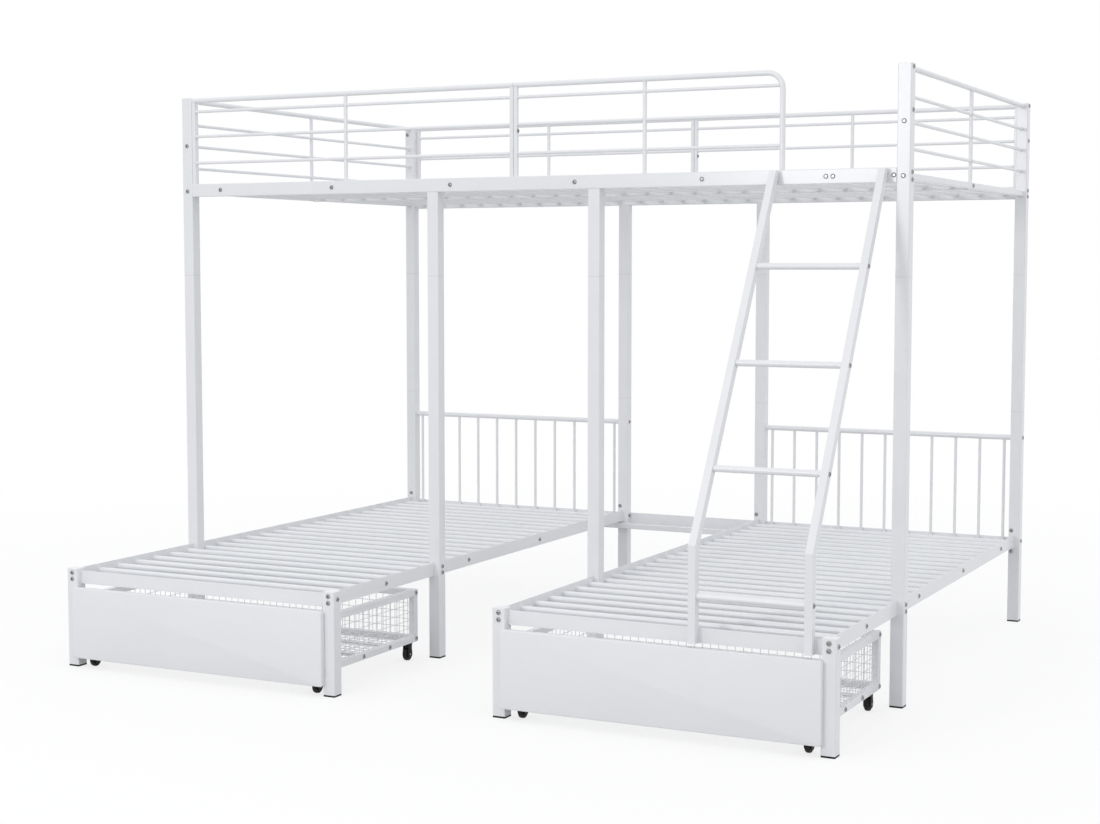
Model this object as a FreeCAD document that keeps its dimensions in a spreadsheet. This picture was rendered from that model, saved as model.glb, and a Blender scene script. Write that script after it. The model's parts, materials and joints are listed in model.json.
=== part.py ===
"""White metal triple bunk bed: two single beds below, one full bed above, a ladder and two rolling drawers.

Millimetres, +Z up, +Y to the back, the floor at zero and the origin under the middle of the whole bed.
"""
import FreeCAD
import Part

import math
import os
import re

from BasicShapes import Shapes

SIZES = {
    # whole bed
    "overall_length": 2420,
    "bed_width": 958,
    "bed_length": 2030,
    "loft_depth": 1440,
    # posts of square tube
    "post_width": 38,
    "post_wall": 1.5,
    "post_corner": 3,
    "post_rise": 277,
    "post_lid": 2,
    "upper_splice": 1180,
    "lower_splice": 718,
    "sleeve_length": 120,
    "sleeve_wall": 2,
    "plug_gap": 0.3,
    "leg_top": 298,
    "foot_height": 5,
    "plug_height": 18,
    # loft rails, slats and centre support
    "loft_rail_top": 1475,
    "loft_rail_height": 41,
    "loft_rail_depth": 20,
    "rail_wall": 1.5,
    "rail_corner": 2.5,
    "end_rail_drop": 32,
    "end_rail_height": 18,
    "end_rail_depth": 20,
    "support_drop": 35,
    "support_height": 25,
    "support_width": 20,
    "slat_diameter": 18,
    "loft_slat_margin": 76,
    "loft_slat_drop": 22,
    "tube_wall": 1.2,
    # guards and end grilles of round tube
    "top_bar": 16,
    "upright": 12,
    "upright_corner": 1.5,
    "thin_bar": 10,
    "guard_rise": 268.5,
    "guard_upper_rise": 233,
    "guard_middle_rise": 153,
    "guard_lower_rise": 68,
    "grille_upper_rise": 192,
    "grille_middle_rise": 123,
    "grille_lower_rise": 52,
    "guard_joint": 13,
    "front_joint": 6,
    "front_guard_upright": 585,
    "back_guard_upright": 595,
    "right_guard_upright": 429,
    "entry_gap": 319,
    "guard_bend": 45,
    "touch_gap": 0.3,
    # lower beds
    "rail_inset": 19,
    "bed_rail_top": 297,
    "bed_rail_height": 40,
    "front_rail_drop": 5,
    "angle_thickness": 2,
    "angle_flange": 16,
    "bed_slat_drop": 21,
    "first_slat_margin": 128,
    "front_slat_margin": 28,
    "back_slat_margin": 49.5,
    "last_slat_margin": 78.5,
    # headboards and stretcher
    "headboard_top": 629,
    "headboard_tube": 18,
    "spindle_margin": 24,
    "foot_rail_top": 276,
    "foot_rail_size": 19,
    "head_strip_top": 286,
    "stretcher_drop": 6,
    "stretcher_size": 20,
    "stretcher_overlap": 90,
    # ladder
    "stile_width": 20,
    "stile_depth": 25,
    "ladder_margin": 226,
    "ladder_span": 290,
    "ladder_drop": 3,
    "ladder_bend": 505,
    "ladder_clear": 8,
    "ladder_reach": 25,
    "stile_lid": 17,
    "first_rung": 375,
    "second_rung": 690,
    "third_rung": 955,
    "fourth_rung": 1209,
    # drawers
    "board_margin": 31.5,
    "board_height": 214.5,
    "board_thickness": 18,
    "board_bottom": 30,
    "board_gap": 0.3,
    "board_edge": 3,
    "basket_clear": 10,
    "basket_depth": 540,
    "basket_bottom": 60,
    "basket_top": 222,
    "basket_tube": 20,
    "basket_corner": 2,
    "floor_level": 16,
    "floor_bar_height": 6,
    "floor_bar_width": 16,
    "first_floor_bar": 231,
    "second_floor_bar": 376,
    "mesh_thickness": 2.5,
    "mesh_pitch": 50,
    "mesh_wire": 4,
    # casters
    "wheel_diameter": 40,
    "wheel_width": 14,
    "wheel_edge": 3,
    "wheel_play": 0.6,
    "axle_diameter": 6,
    "axle_play": 0.05,
    "axle_head": 1,
    "cheek_thickness": 3,
    "cheek_depth": 22,
    "cheek_bottom": 11,
    "plate_thickness": 3,
    "plate_length": 34,
    "caster_margin": 29,
    "front_caster_inset": 31,
    "back_caster_inset": 15,
    # bolts
    "bolt_head": 14,
    "bolt_head_height": 3,
    "post_bolt_step": 10,
    "ladder_bolt_step": 10,
    "leg_bolt_drop": 12,
    "leg_bolt_step": 19,
    "rail_bolt_ahead": 280,
    "first_rail_bolt": 220,
    "second_rail_bolt": 718,
    "third_rail_bolt": 1214,
    "near_loft_bolt": 209,
    "middle_bolt_margin": 576,
    "far_bolt_margin": 150,
    "entry_bolt_margin": 230,
    "guard_bolt_rise": 134,
    "grille_bolt_rise": 246,
    "grille_bolt_shift": 9,
    "head_bolt_shift": 10,
    "head_bolt_clear": 16,
    "inner_bolt_rise": 2,
}

# How many of each repeated piece
LOFT_SLATS_EACH_SIDE = 14
FRONT_SLATS = 6
BACK_SLATS = 17
SPINDLES = 11

# Lengths that follow from the sizes
DERIVED = {
    "back": "(bed_length+board_gap+board_thickness-bolt_head_height)/2",
    "back_row": "back-post_width",
    "leg_front": "back-bed_length",
    "loft_front": "back-loft_depth",
    "loft_middle": "back-loft_depth/2",
    "post_top": "loft_rail_top+post_rise",
    "loft_rail_bottom": "loft_rail_top-loft_rail_height",
    "end_rail_bottom": "loft_rail_top-end_rail_drop",
    "end_rail_top": "end_rail_bottom+end_rail_height",
    "support_bottom": "loft_rail_top-support_drop",
    "loft_slat_height": "loft_rail_top-loft_slat_drop",
    "loft_slat_pitch": f"(overall_length/2-loft_slat_margin)/{LOFT_SLATS_EACH_SIDE - 0.5}",
    "guard_top": "loft_rail_top+guard_rise",
    "guard_upper_bar": "loft_rail_top+guard_upper_rise",
    "guard_middle_bar": "loft_rail_top+guard_middle_rise",
    "guard_lower_bar": "loft_rail_top+guard_lower_rise",
    "grille_upper_bar": "loft_rail_top+grille_upper_rise",
    "grille_middle_bar": "loft_rail_top+grille_middle_rise",
    "grille_lower_bar": "loft_rail_top+grille_lower_rise",
    "bed_rail_bottom": "bed_rail_top-bed_rail_height",
    "front_rail_bottom": "bed_rail_bottom-front_rail_drop",
    "bed_slat_height": "bed_rail_top-bed_slat_drop",
    "front_slat_pitch": f"(bed_length-loft_depth-first_slat_margin-front_slat_margin)/{FRONT_SLATS - 1}",
    "back_slat_pitch": f"(loft_depth-back_slat_margin-last_slat_margin)/{BACK_SLATS - 1}",
    "stretcher_low": "bed_rail_bottom-stretcher_drop-stretcher_size",
    "ladder_centre": "overall_length/2-ladder_margin",
    "ladder_left": "ladder_centre-ladder_span/2",
    "ladder_right": "ladder_centre+ladder_span/2",
    "ladder_top": "loft_rail_top-ladder_drop",
    "ladder_foot_front": "leg_front+rail_inset-stile_depth",
    "ladder_top_front": "loft_front-ladder_reach",
    "ladder_slope": "(ladder_top_front-ladder_foot_front)/(ladder_top-ladder_bend)",
    "board_width": "bed_width-2*board_margin",
    "basket_front": "leg_front-board_gap",
    "basket_width": "bed_width-2*post_width-2*basket_clear",
    "caster_spread": "basket_width/2-caster_margin",
}

doc = FreeCAD.newDocument("triple_bunk_bed")
sheet = doc.addObject("Spreadsheet::Sheet", "Sizes")
for row, (alias, number) in enumerate(SIZES.items(), start=1):
    sheet.set(f"A{row}", alias)
    sheet.set(f"B{row}", str(number))
    sheet.setAlias(f"B{row}", alias)
doc.recompute()

nodes = []

# Left face of each column of posts
COLUMNS = {
    "left": "(-overall_length/2)",
    "middle_left": "(-overall_length/2+bed_width-post_width)",
    "middle_right": "(overall_length/2-bed_width)",
    "right": "(overall_length/2-post_width)",
}
BEDS = {"left": ("left", "middle_left"), "right": ("middle_right", "right")}
INNER_LEFT = "(-overall_length/2+post_width)"
INNER_RIGHT = "(overall_length/2-post_width)"

TURNS = {
    "x": FreeCAD.Rotation(FreeCAD.Vector(0, 1, 0), 90),
    "y": FreeCAD.Rotation(FreeCAD.Vector(1, 0, 0), -90),
    "z": FreeCAD.Rotation(),
}
BOX_EDGES = {"z": (1, 3, 5, 7), "y": (2, 4, 6, 8), "x": (9, 10, 11, 12)}
BOX_FRONT_EDGES = (1, 5, 9, 10)
ROD_RIMS = (1, 3)


def size(name):
    """Number held in one cell of the sheet."""
    return float(sheet.get(name))


def cells(text):
    """Expression with derived lengths written out and the sheet's name before every size it uses."""
    def linked(word):
        name = word.group()
        if name in DERIVED:
            return f"({cells(DERIVED[name])})"
        return f"Sizes.{name}" if name in SIZES else name
    return re.sub(r"[a-z_][a-z_0-9]*", linked, text)


def bind(item, **texts):
    """Tie properties of an object to expressions."""
    for name, text in texts.items():
        item.setExpression(name, cells(text))
    return item


def place(item, start, axis="z"):
    """Tie an object's position to expressions and turn it to an axis."""
    item.Placement.Rotation = TURNS[axis]
    for letter, text in zip("xyz", start):
        item.setExpression("Placement.Base." + letter, cells(text))
    return item


def block(start, extent):
    """Plain box from its lowest corner and its size."""
    box = doc.addObject("Part::Box", "block")
    bind(box, Length=extent[0], Width=extent[1], Height=extent[2])
    return place(box, start)


def rod(axis, start, length, diameter):
    """Solid round bar along an axis."""
    bar = doc.addObject("Part::Cylinder", "rod")
    bind(bar, Radius=f"({diameter})/2", Height=length)
    return place(bar, start, axis)


def round_tube(axis, start, length, diameter):
    """Hollow round tube along an axis."""
    tube = Shapes.addTube(doc, "round_tube")
    bind(tube, OuterRadius=f"({diameter})/2", InnerRadius=f"({diameter})/2-tube_wall", Height=length)
    return place(tube, start, axis)


def rounded(box, edges, radius):
    """Box with some edges rounded."""
    fillet = doc.addObject("Part::Fillet", "rounded")
    fillet.Base = box
    fillet.Edges = [(edge, size(radius), size(radius)) for edge in edges]
    return fillet


def cut(base, tool):
    """One shape with another taken away."""
    result = doc.addObject("Part::Cut", "cut")
    result.Base = base
    result.Tool = tool
    return result


def fuse(items):
    """Several shapes joined into one solid."""
    result = doc.addObject("Part::MultiFuse", "fuse")
    result.Shapes = items
    return result


def bundle(items):
    """Several separate shapes kept together."""
    result = doc.addObject("Part::Compound", "bundle")
    result.Links = items
    return result


def node(label, items):
    """Named piece of the bed, one solid or a group of separate solids."""
    item = items[0] if len(items) == 1 else bundle(items)
    item.Label = label
    nodes.append(item)
    return item


def square_tube(axis, start, extent, wall, corner, lid="0"):
    """Hollow square tube with rounded corners, its far end closed by a lid if wanted."""
    inner_start = list(start)
    inner_extent = list(extent)
    for place_index, letter in enumerate("xyz"):
        if letter == axis:
            inner_extent[place_index] = f"({extent[place_index]})-({lid})"
        else:
            inner_start[place_index] = f"({start[place_index]})+{wall}"
            inner_extent[place_index] = f"({extent[place_index]})-2*{wall}"
    outer = rounded(block(start, extent), BOX_EDGES[axis], corner)
    return cut(outer, block(inner_start, inner_extent))


def post(column, front, bottom, top, lid="0"):
    """Length of square post tube."""
    start = (COLUMNS[column], front, bottom)
    extent = ("post_width", "post_width", f"({top})-({bottom})")
    return square_tube("z", start, extent, "post_wall", "post_corner", lid)


def foot_cap(column, front):
    """Plastic cap under a post with a plug in the tube."""
    pad = block((COLUMNS[column], front, "0"), ("post_width", "post_width", "foot_height"))
    inset = "post_wall+plug_gap"
    plug_width = f"post_width-2*({inset})"
    plug = block((f"{COLUMNS[column]}+{inset}", f"{front}+{inset}", "foot_height"),
                 (plug_width, plug_width, "plug_height"))
    return fuse([rounded(pad, BOX_EDGES["z"], "post_corner"), plug])


def sleeve(column, front, height):
    """Tube hidden in a post across a splice."""
    inset = "post_wall+plug_gap"
    width = f"post_width-2*({inset})"
    start = (f"{COLUMNS[column]}+{inset}", f"{front}+{inset}", f"{height}-sleeve_length/2")
    return square_tube("z", start, (width, width, "sleeve_length"), "sleeve_wall", "sleeve_wall")


# Posts, foot caps and splice sleeves
for name in ("left", "right"):
    node(f"front_{name}_upper_post", [post(name, "loft_front", "upper_splice", "post_top", "post_lid")])
    node(f"back_{name}_upper_post", [post(name, "back_row", "upper_splice", "post_top", "post_lid")])
LOFT_ROWS = ("loft_front", "back_row")
node("middle_upper_posts", [post(name, front, "upper_splice", "loft_rail_bottom", "post_lid")
                            for name in ("middle_left", "middle_right") for front in LOFT_ROWS])
for name in COLUMNS:
    node(f"front_{name}_lower_post", [post(name, "loft_front", "foot_height", "upper_splice")])
node("back_post_extensions", [post(name, "back_row", "lower_splice", "upper_splice") for name in COLUMNS])
for side, pair in BEDS.items():
    node(f"{side}_headboard_posts", [post(name, "back_row", "foot_height", "lower_splice") for name in pair])
    node(f"{side}_bed_front_legs", [post(name, "leg_front", "foot_height", "leg_top", "post_lid")
                                    for name in pair])
node("foot_caps", [foot_cap(name, front) for name in COLUMNS for front in ("leg_front",) + LOFT_ROWS])
node("splice_sleeves", [sleeve(name, front, "upper_splice") for name in COLUMNS for front in LOFT_ROWS]
     + [sleeve(name, "back_row", "lower_splice") for name in COLUMNS])

# Loft rails, centre support and slats
RAIL_LENGTH = "overall_length-2*post_width"
BACK_RAIL = "back-loft_rail_depth"
for name, front in (("front", "loft_front"), ("back", BACK_RAIL)):
    node(f"loft_{name}_rail", [square_tube("x", (INNER_LEFT, front, "loft_rail_bottom"),
                                           (RAIL_LENGTH, "loft_rail_depth", "loft_rail_height"),
                                           "rail_wall", "rail_corner")])
SUPPORT_LENGTH = "(overall_length-post_width-end_rail_depth)"
SUPPORT_FRONT = "(loft_middle-support_width/2)"
node("loft_centre_support", [square_tube("x", (f"-{SUPPORT_LENGTH}/2", SUPPORT_FRONT, "support_bottom"),
                                         (SUPPORT_LENGTH, "support_width", "support_height"),
                                         "rail_wall", "rail_corner")])
SLAT_STARTS = ("loft_front+loft_rail_depth", f"{SUPPORT_FRONT}+support_width")
SLAT_LENGTH = "loft_depth/2-loft_rail_depth-support_width/2"
node("loft_slats", [round_tube("y", (f"{sign}*({step}+0.5)*loft_slat_pitch", start, "loft_slat_height"),
                               SLAT_LENGTH, "slat_diameter")
                    for sign in (-1, 1) for step in range(LOFT_SLATS_EACH_SIDE) for start in SLAT_STARTS])

# Guards on the long sides and grilles at the ends of the loft
GUARD_BARS = ("guard_upper_bar", "guard_middle_bar", "guard_lower_bar")
GRILLE_BARS = ("grille_upper_bar", "grille_middle_bar", "grille_lower_bar")
UPRIGHT_HEIGHT = "guard_top-loft_rail_top"


def elbow(end, middle):
    """Quarter bend from a level bar to an upright."""
    parts = []
    for radius in ("top_bar/2", "top_bar/2-tube_wall"):
        ring = doc.addObject("Part::Torus", "ring")
        ring.Angle3 = 90
        bind(ring, Radius1="guard_bend", Radius2=radius)
        place(ring, (f"{end}-guard_bend", middle, "guard_top-guard_bend"))
        ring.Placement.Rotation = FreeCAD.Rotation(FreeCAD.Vector(1, 0, 0), 90)
        parts.append(ring)
    return cut(*parts)


def guard(label, middle, left, right, uprights, bent=False):
    """Guard panel: top bar, uprights on the rail, square ones at the ends, and thin bars between them."""
    bar_end = f"({uprights[-1]}-guard_bend)" if bent else right
    top_place = (left, middle, "guard_top")
    top_length = f"{bar_end}-({left})"
    items = [round_tube("x", top_place, top_length, "top_bar")]
    stands = []
    for number, along in enumerate(uprights):
        start = (along, middle, "loft_rail_top")
        last = number == len(uprights) - 1
        if bent and last:
            height = f"{UPRIGHT_HEIGHT}-guard_bend"
            items += [round_tube("z", start, height, "top_bar"), elbow(along, middle)]
            stands.append(rod("z", start, height, "top_bar"))
            continue
        top = rod("x", top_place, top_length, "top_bar")
        if number == 0 or last:
            corner = (f"{along}-upright/2", f"{middle}-upright/2", "loft_rail_top")
            extent = ("upright", "upright", UPRIGHT_HEIGHT)
            items.append(cut(square_tube("z", corner, extent, "tube_wall", "upright_corner"), top))
            stands.append(block(corner, extent))
        else:
            items.append(cut(round_tube("z", start, UPRIGHT_HEIGHT, "upright"), top))
            stands.append(rod("z", start, UPRIGHT_HEIGHT, "upright"))
    crossing = bundle(stands)
    for level in GUARD_BARS:
        start = (uprights[0], middle, level)
        bar = round_tube("x", start, f"{uprights[-1]}-({uprights[0]})", "thin_bar")
        items.append(cut(bar, crossing))
    node(label, items)


def end_grille(label, middle):
    """Grille between a front and a back post: low rail, top bar, upright and thin bars."""
    start = "(loft_front+post_width)"
    length = "loft_depth-2*post_width"
    top_place = (middle, start, "guard_top")
    stand = (middle, "loft_middle", "end_rail_top")
    height = "guard_top-end_rail_top"
    items = [square_tube("y", (f"{middle}-end_rail_depth/2", start, "end_rail_bottom"),
                         ("end_rail_depth", length, "end_rail_height"), "rail_wall", "rail_corner"),
             round_tube("y", top_place, length, "top_bar"),
             cut(round_tube("z", stand, height, "upright"), rod("y", top_place, length, "top_bar"))]
    crossing = rod("z", stand, height, "upright")
    for level in GRILLE_BARS:
        items.append(cut(round_tube("y", (middle, start, level), length, "thin_bar"), crossing))
    node(label, items)


FRONT_GUARD = "loft_front+top_bar/2"
BACK_GUARD = "back-top_bar/2"
POST_CLEAR = "(upright/2+touch_gap)"
FRONT_LEFT_UPRIGHTS = [f"({INNER_LEFT}+{POST_CLEAR})", "(-front_guard_upright)",
                       "(front_joint-guard_joint/2)"]
BACK_LEFT_UPRIGHTS = [f"({INNER_LEFT}+{POST_CLEAR})", "(-back_guard_upright)", "(-guard_joint/2)"]
BACK_RIGHT_UPRIGHTS = ["(guard_joint/2)", "back_guard_upright", f"({INNER_RIGHT}-{POST_CLEAR})"]
ENTRY_UPRIGHTS = ["(front_joint+guard_joint/2)", "right_guard_upright",
                  f"({INNER_RIGHT}-entry_gap-top_bar/2)"]
JOINT_EDGE = "(guard_joint/2-upright/2)"
guard("front_left_guard", FRONT_GUARD, INNER_LEFT, f"front_joint-{JOINT_EDGE}", FRONT_LEFT_UPRIGHTS)
guard("front_right_guard", FRONT_GUARD, f"front_joint+{JOINT_EDGE}", "", ENTRY_UPRIGHTS, bent=True)
guard("back_left_guard", BACK_GUARD, INNER_LEFT, f"-{JOINT_EDGE}", BACK_LEFT_UPRIGHTS)
guard("back_right_guard", BACK_GUARD, JOINT_EDGE, INNER_RIGHT, BACK_RIGHT_UPRIGHTS)
END_MIDDLE = "(overall_length/2-post_width/2)"
end_grille("left_end_grille", f"(-{END_MIDDLE})")
end_grille("right_end_grille", END_MIDDLE)

# Lower beds: front rail, side rails, slats and headboard
WEB = "angle_thickness"


def angle_along_x(left, front, length):
    """Angle iron whose upright web faces the front."""
    web = block((left, front, "front_rail_bottom"), (length, WEB, "bed_rail_height"))
    flange = block((left, f"{front}+{WEB}", "front_rail_bottom"), (length, "angle_flange", WEB))
    return fuse([web, flange])


def angle_along_y(web_left, front, length, inward):
    """Angle iron whose upright web faces the side and whose flange points into the bed."""
    flange_left = f"{web_left}+{WEB}" if inward > 0 else f"{web_left}-angle_flange"
    web = block((web_left, front, "bed_rail_bottom"), (WEB, length, "bed_rail_height"))
    flange = block((flange_left, front, "bed_rail_bottom"), ("angle_flange", length, WEB))
    return fuse([web, flange])


def foot_rail(left, length):
    """Square tube near the floor with a flat strip welded behind it."""
    middle = "(back-post_width/2)"
    low = "(foot_rail_top-foot_rail_size)"
    tube = square_tube("x", (left, f"{middle}-foot_rail_size/2", low),
                       (length, "foot_rail_size", "foot_rail_size"), "rail_wall", "rail_corner")
    strip = block((left, f"{middle}+foot_rail_size/2", low), (length, WEB, f"head_strip_top-{low}"))
    return [tube, strip]


def headboard(label, left, length):
    """Round top tube, spindles fitted to it and the rail they stand on."""
    middle = "(back-post_width/2)"
    top_place = (left, middle, "headboard_top")
    items = foot_rail(left, length)
    items.append(round_tube("x", top_place, length, "headboard_tube"))
    pitch = f"(({length})-2*spindle_margin)/{SPINDLES - 1}"
    crossing = rod("x", top_place, length, "headboard_tube")
    for number in range(SPINDLES):
        start = (f"{left}+spindle_margin+{number}*{pitch}", middle, "foot_rail_top")
        spindle = round_tube("z", start, "headboard_top-foot_rail_top", "thin_bar")
        items.append(cut(spindle, crossing))
    node(label, items)


SIDE_SPANS = (("leg_front+post_width", "loft_front-leg_front-post_width"),
              ("loft_front+post_width", "loft_depth-2*post_width"))
CLEAR_WIDTH = "(bed_width-2*post_width)"
for side, (left_column, right_column) in BEDS.items():
    left = COLUMNS[left_column]
    inner = f"({left}+post_width)"
    right = f"({left}+bed_width)"
    node(f"{side}_bed_front_rail", [angle_along_x(inner, "(leg_front+rail_inset)", CLEAR_WIDTH)])
    rails = []
    for front, length in SIDE_SPANS:
        rails.append(angle_along_y(f"({left}+rail_inset)", front, length, 1))
        rails.append(angle_along_y(f"({right}-rail_inset-{WEB})", front, length, -1))
    node(f"{side}_bed_side_rails", rails)
    rows = [f"loft_front-front_slat_margin-{step}*front_slat_pitch" for step in range(FRONT_SLATS)]
    rows += [f"loft_front+back_slat_margin+{step}*back_slat_pitch" for step in range(BACK_SLATS)]
    slat_length = f"bed_width-2*(rail_inset+{WEB})"
    node(f"{side}_bed_slats", [round_tube("x", (f"{left}+rail_inset+{WEB}", row, "bed_slat_height"),
                                          slat_length, "slat_diameter") for row in rows])
    headboard(f"{side}_headboard_grille", inner, CLEAR_WIDTH)
STRETCH = "(overall_length-2*bed_width)"
stretcher_strip = block((f"(-{STRETCH}/2)", "(back-post_width/2+foot_rail_size/2)", "stretcher_low"),
                        (STRETCH, WEB, "head_strip_top-stretcher_low"))
STRETCH_TUBE = f"({STRETCH}+2*(post_width+stretcher_overlap))"
stretcher_tube = square_tube("x", (f"(-{STRETCH_TUBE}/2)", "back_row-stretcher_size", "stretcher_low"),
                             (STRETCH_TUBE, "stretcher_size", "stretcher_size"), "rail_wall", "rail_corner")
node("back_stretcher", [stretcher_strip, stretcher_tube])

# Ladder: bent stiles and rungs
RUNGS = ("first_rung", "second_rung", "third_rung", "fourth_rung")


def stile(label, left):
    """Bent rectangular tube: upright foot, slanted length, top flattened against the loft rail."""
    back = (size("bed_length") + size("board_gap") + size("board_thickness") - size("bolt_head_height")) / 2
    loft_front = back - size("loft_depth")
    foot_front = back - size("bed_length") + size("rail_inset") - size("stile_depth")
    foot = size("board_bottom") + size("board_height") + size("ladder_clear")
    top_front = loft_front - size("ladder_reach")
    full_top = size("loft_rail_top") - size("ladder_drop")
    slope = (top_front - foot_front) / (full_top - size("ladder_bend"))
    stretch = math.hypot(1, slope)

    def outline(near, far, top):
        """Side view between two lines at set depths behind the front face."""
        def slanted(depth, height):
            return top_front + depth * stretch - (full_top - height) * slope

        def bend(depth):
            return full_top - (top_front + depth * stretch - foot_front - depth) / slope
        points = [(foot_front + near, foot), (foot_front + near, bend(near)), (slanted(near, top), top)]
        if slanted(far, top) > loft_front:
            points += [(loft_front, top), (loft_front, top - (slanted(far, top) - loft_front) / slope)]
        else:
            points.append((slanted(far, top), top))
        points += [(foot_front + far, bend(far)), (foot_front + far, foot)]
        return points

    def plate(points, start, width):
        """Side view given a width."""
        corners = [FreeCAD.Vector(start, along, height) for along, height in points]
        return Part.Face(Part.makePolygon(corners + corners[:1])).extrude(FreeCAD.Vector(width, 0, 0))
    wall = size("rail_wall")
    width = size("stile_width")
    outer = plate(outline(0, size("stile_depth"), full_top), 0, width)
    bore_line = outline(wall, size("stile_depth") - wall, full_top - size("stile_lid"))
    bore = plate(bore_line, wall, width - 2 * wall)
    item = doc.addObject("Part::Feature", "stile")
    item.Shape = outer.cut(bore)
    place(item, (left, "0", "0"))
    node(label, [item])


def rung_depth(height):
    """Place of a rung on the middle line of the stiles, upright below the bend and slanted above it."""
    upright = "ladder_foot_front+stile_depth/2"
    stretch = "sqrt(1+ladder_slope*ladder_slope)"
    slanted = f"ladder_top_front+stile_depth/2*{stretch}-(ladder_top-{height})*ladder_slope"
    return f"(max({upright};{slanted}))"


stile("ladder_left_stile", "(ladder_left-stile_width)")
stile("ladder_right_stile", "ladder_right")
node("ladder_rungs", [round_tube("x", ("ladder_left", rung_depth(height), height), "ladder_span",
                                 "slat_diameter") for height in RUNGS])

# Drawers: front board, basket frame, mesh and casters
BED_MIDDLES = {"left": "(-overall_length/2+bed_width/2)", "right": "(overall_length/2-bed_width/2)"}


def tube(axis, start, extent):
    """Square tube of the basket."""
    return square_tube(axis, start, extent, "tube_wall", "basket_corner")


def basket_frame(label, middle):
    """Two rims of square tube, corner posts and flat bars under the floor net."""
    left = f"({middle}-basket_width/2)"
    right = f"({middle}+basket_width/2-basket_tube)"
    back = "(basket_front+basket_depth-basket_tube)"
    across = f"({left}+basket_tube)"
    clear = "(basket_width-2*basket_tube)"
    items = []
    for level in ("basket_bottom", "basket_top-basket_tube"):
        for along in (left, right):
            items.append(tube("y", (along, "basket_front", level),
                              ("basket_tube", "basket_depth", "basket_tube")))
        for row in ("basket_front", back):
            items.append(tube("x", (across, row, level), (clear, "basket_tube", "basket_tube")))
    height = "basket_top-basket_bottom-2*basket_tube"
    for along in (left, right):
        for row in ("basket_front", back):
            items.append(tube("z", (along, row, "basket_bottom+basket_tube"),
                              ("basket_tube", "basket_tube", height)))
    under_net = "basket_bottom+floor_level-floor_bar_height"
    for row in ("first_floor_bar", "second_floor_bar"):
        items.append(block((across, f"basket_front+{row}-floor_bar_width/2", under_net),
                           (clear, "floor_bar_width", "floor_bar_height")))
    node(label, items)


def net(width, height):
    """Flat net of square holes, lying in the XY plane."""
    wire = size("mesh_wire")
    counts = [max(1, round((extent - wire) / size("mesh_pitch"))) for extent in (width, height)]
    pitches = [(extent - wire) / count for extent, count in zip((width, height), counts)]
    outline = [Part.makePolygon([FreeCAD.Vector(*corner) for corner in
                                 ((0, 0), (width, 0), (width, height), (0, height), (0, 0))])]
    for column in range(counts[0]):
        for row in range(counts[1]):
            low = (column * pitches[0] + wire, row * pitches[1] + wire)
            high = ((column + 1) * pitches[0], (row + 1) * pitches[1])
            outline.append(Part.makePolygon([FreeCAD.Vector(*corner) for corner in
                                             (low, (high[0], low[1]), high, (low[0], high[1]), low)]))
    sheet_face = Part.makeFace(outline, "Part::FaceMakerBullseye")
    return sheet_face.extrude(FreeCAD.Vector(0, 0, size("mesh_thickness")))


def basket_mesh(label, middle):
    """Nets on the floor and the four walls of a basket."""
    basket_width = size("bed_width") - 2 * size("post_width") - 2 * size("basket_clear")
    clear_width = basket_width - 2 * size("basket_tube")
    clear_depth = size("basket_depth") - 2 * size("basket_tube")
    wall_height = size("basket_top") - size("basket_bottom") - 2 * size("basket_tube")
    inner_left = f"{middle}-basket_width/2+basket_tube"
    inner_front = "basket_front+basket_tube"
    wall_bottom = "basket_bottom+basket_tube"
    to_middle = "basket_tube/2+mesh_thickness/2"
    upright = FreeCAD.Rotation(FreeCAD.Vector(1, 0, 0), 90)
    sideways = FreeCAD.Rotation(FreeCAD.Vector(1, 1, 1), 120)
    floor_height = "basket_bottom+floor_level"
    front_wall = f"basket_front+{to_middle}"
    back_wall = f"basket_front+basket_depth-basket_tube+{to_middle}"
    left_wall = f"{middle}-basket_width/2+basket_tube-({to_middle})"
    right_wall = f"{middle}+basket_width/2-({to_middle})"
    plans = [
        (clear_width, clear_depth, FreeCAD.Rotation(), (inner_left, inner_front, floor_height)),
        (clear_width, wall_height, upright, (inner_left, front_wall, wall_bottom)),
        (clear_width, wall_height, upright, (inner_left, back_wall, wall_bottom)),
        (clear_depth, wall_height, sideways, (left_wall, inner_front, wall_bottom)),
        (clear_depth, wall_height, sideways, (right_wall, inner_front, wall_bottom)),
    ]
    items = []
    for width, height, turn, start in plans:
        item = doc.addObject("Part::Feature", "net")
        item.Shape = net(width, height)
        place(item, start)
        item.Placement.Rotation = turn
        items.append(item)
    node(label, items)


def caster_fork(middle, row):
    """Mounting plate with two cheeks drilled for the axle."""
    under = "basket_bottom-plate_thickness"
    inner = "wheel_width/2+wheel_play"
    width = f"2*({inner}+cheek_thickness)"
    items = [block((f"{middle}-({width})/2", f"{row}-plate_length/2", under),
                   (width, "plate_length", "plate_thickness"))]
    for left in (f"{middle}-({inner})-cheek_thickness", f"{middle}+{inner}"):
        items.append(block((left, f"{row}-cheek_depth/2", "cheek_bottom"),
                           ("cheek_thickness", "cheek_depth", f"{under}-cheek_bottom")))
    hole = rod("x", (f"{middle}-({width})/2", row, "wheel_diameter/2"), width, "axle_diameter+2*axle_play")
    return cut(fuse(items), hole)


def caster_axle(middle, row):
    """Pin through the cheeks and the wheel."""
    length = "wheel_width+2*(wheel_play+cheek_thickness+axle_head)"
    return rod("x", (f"{middle}-({length})/2", row, "wheel_diameter/2"), length, "axle_diameter")


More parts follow.
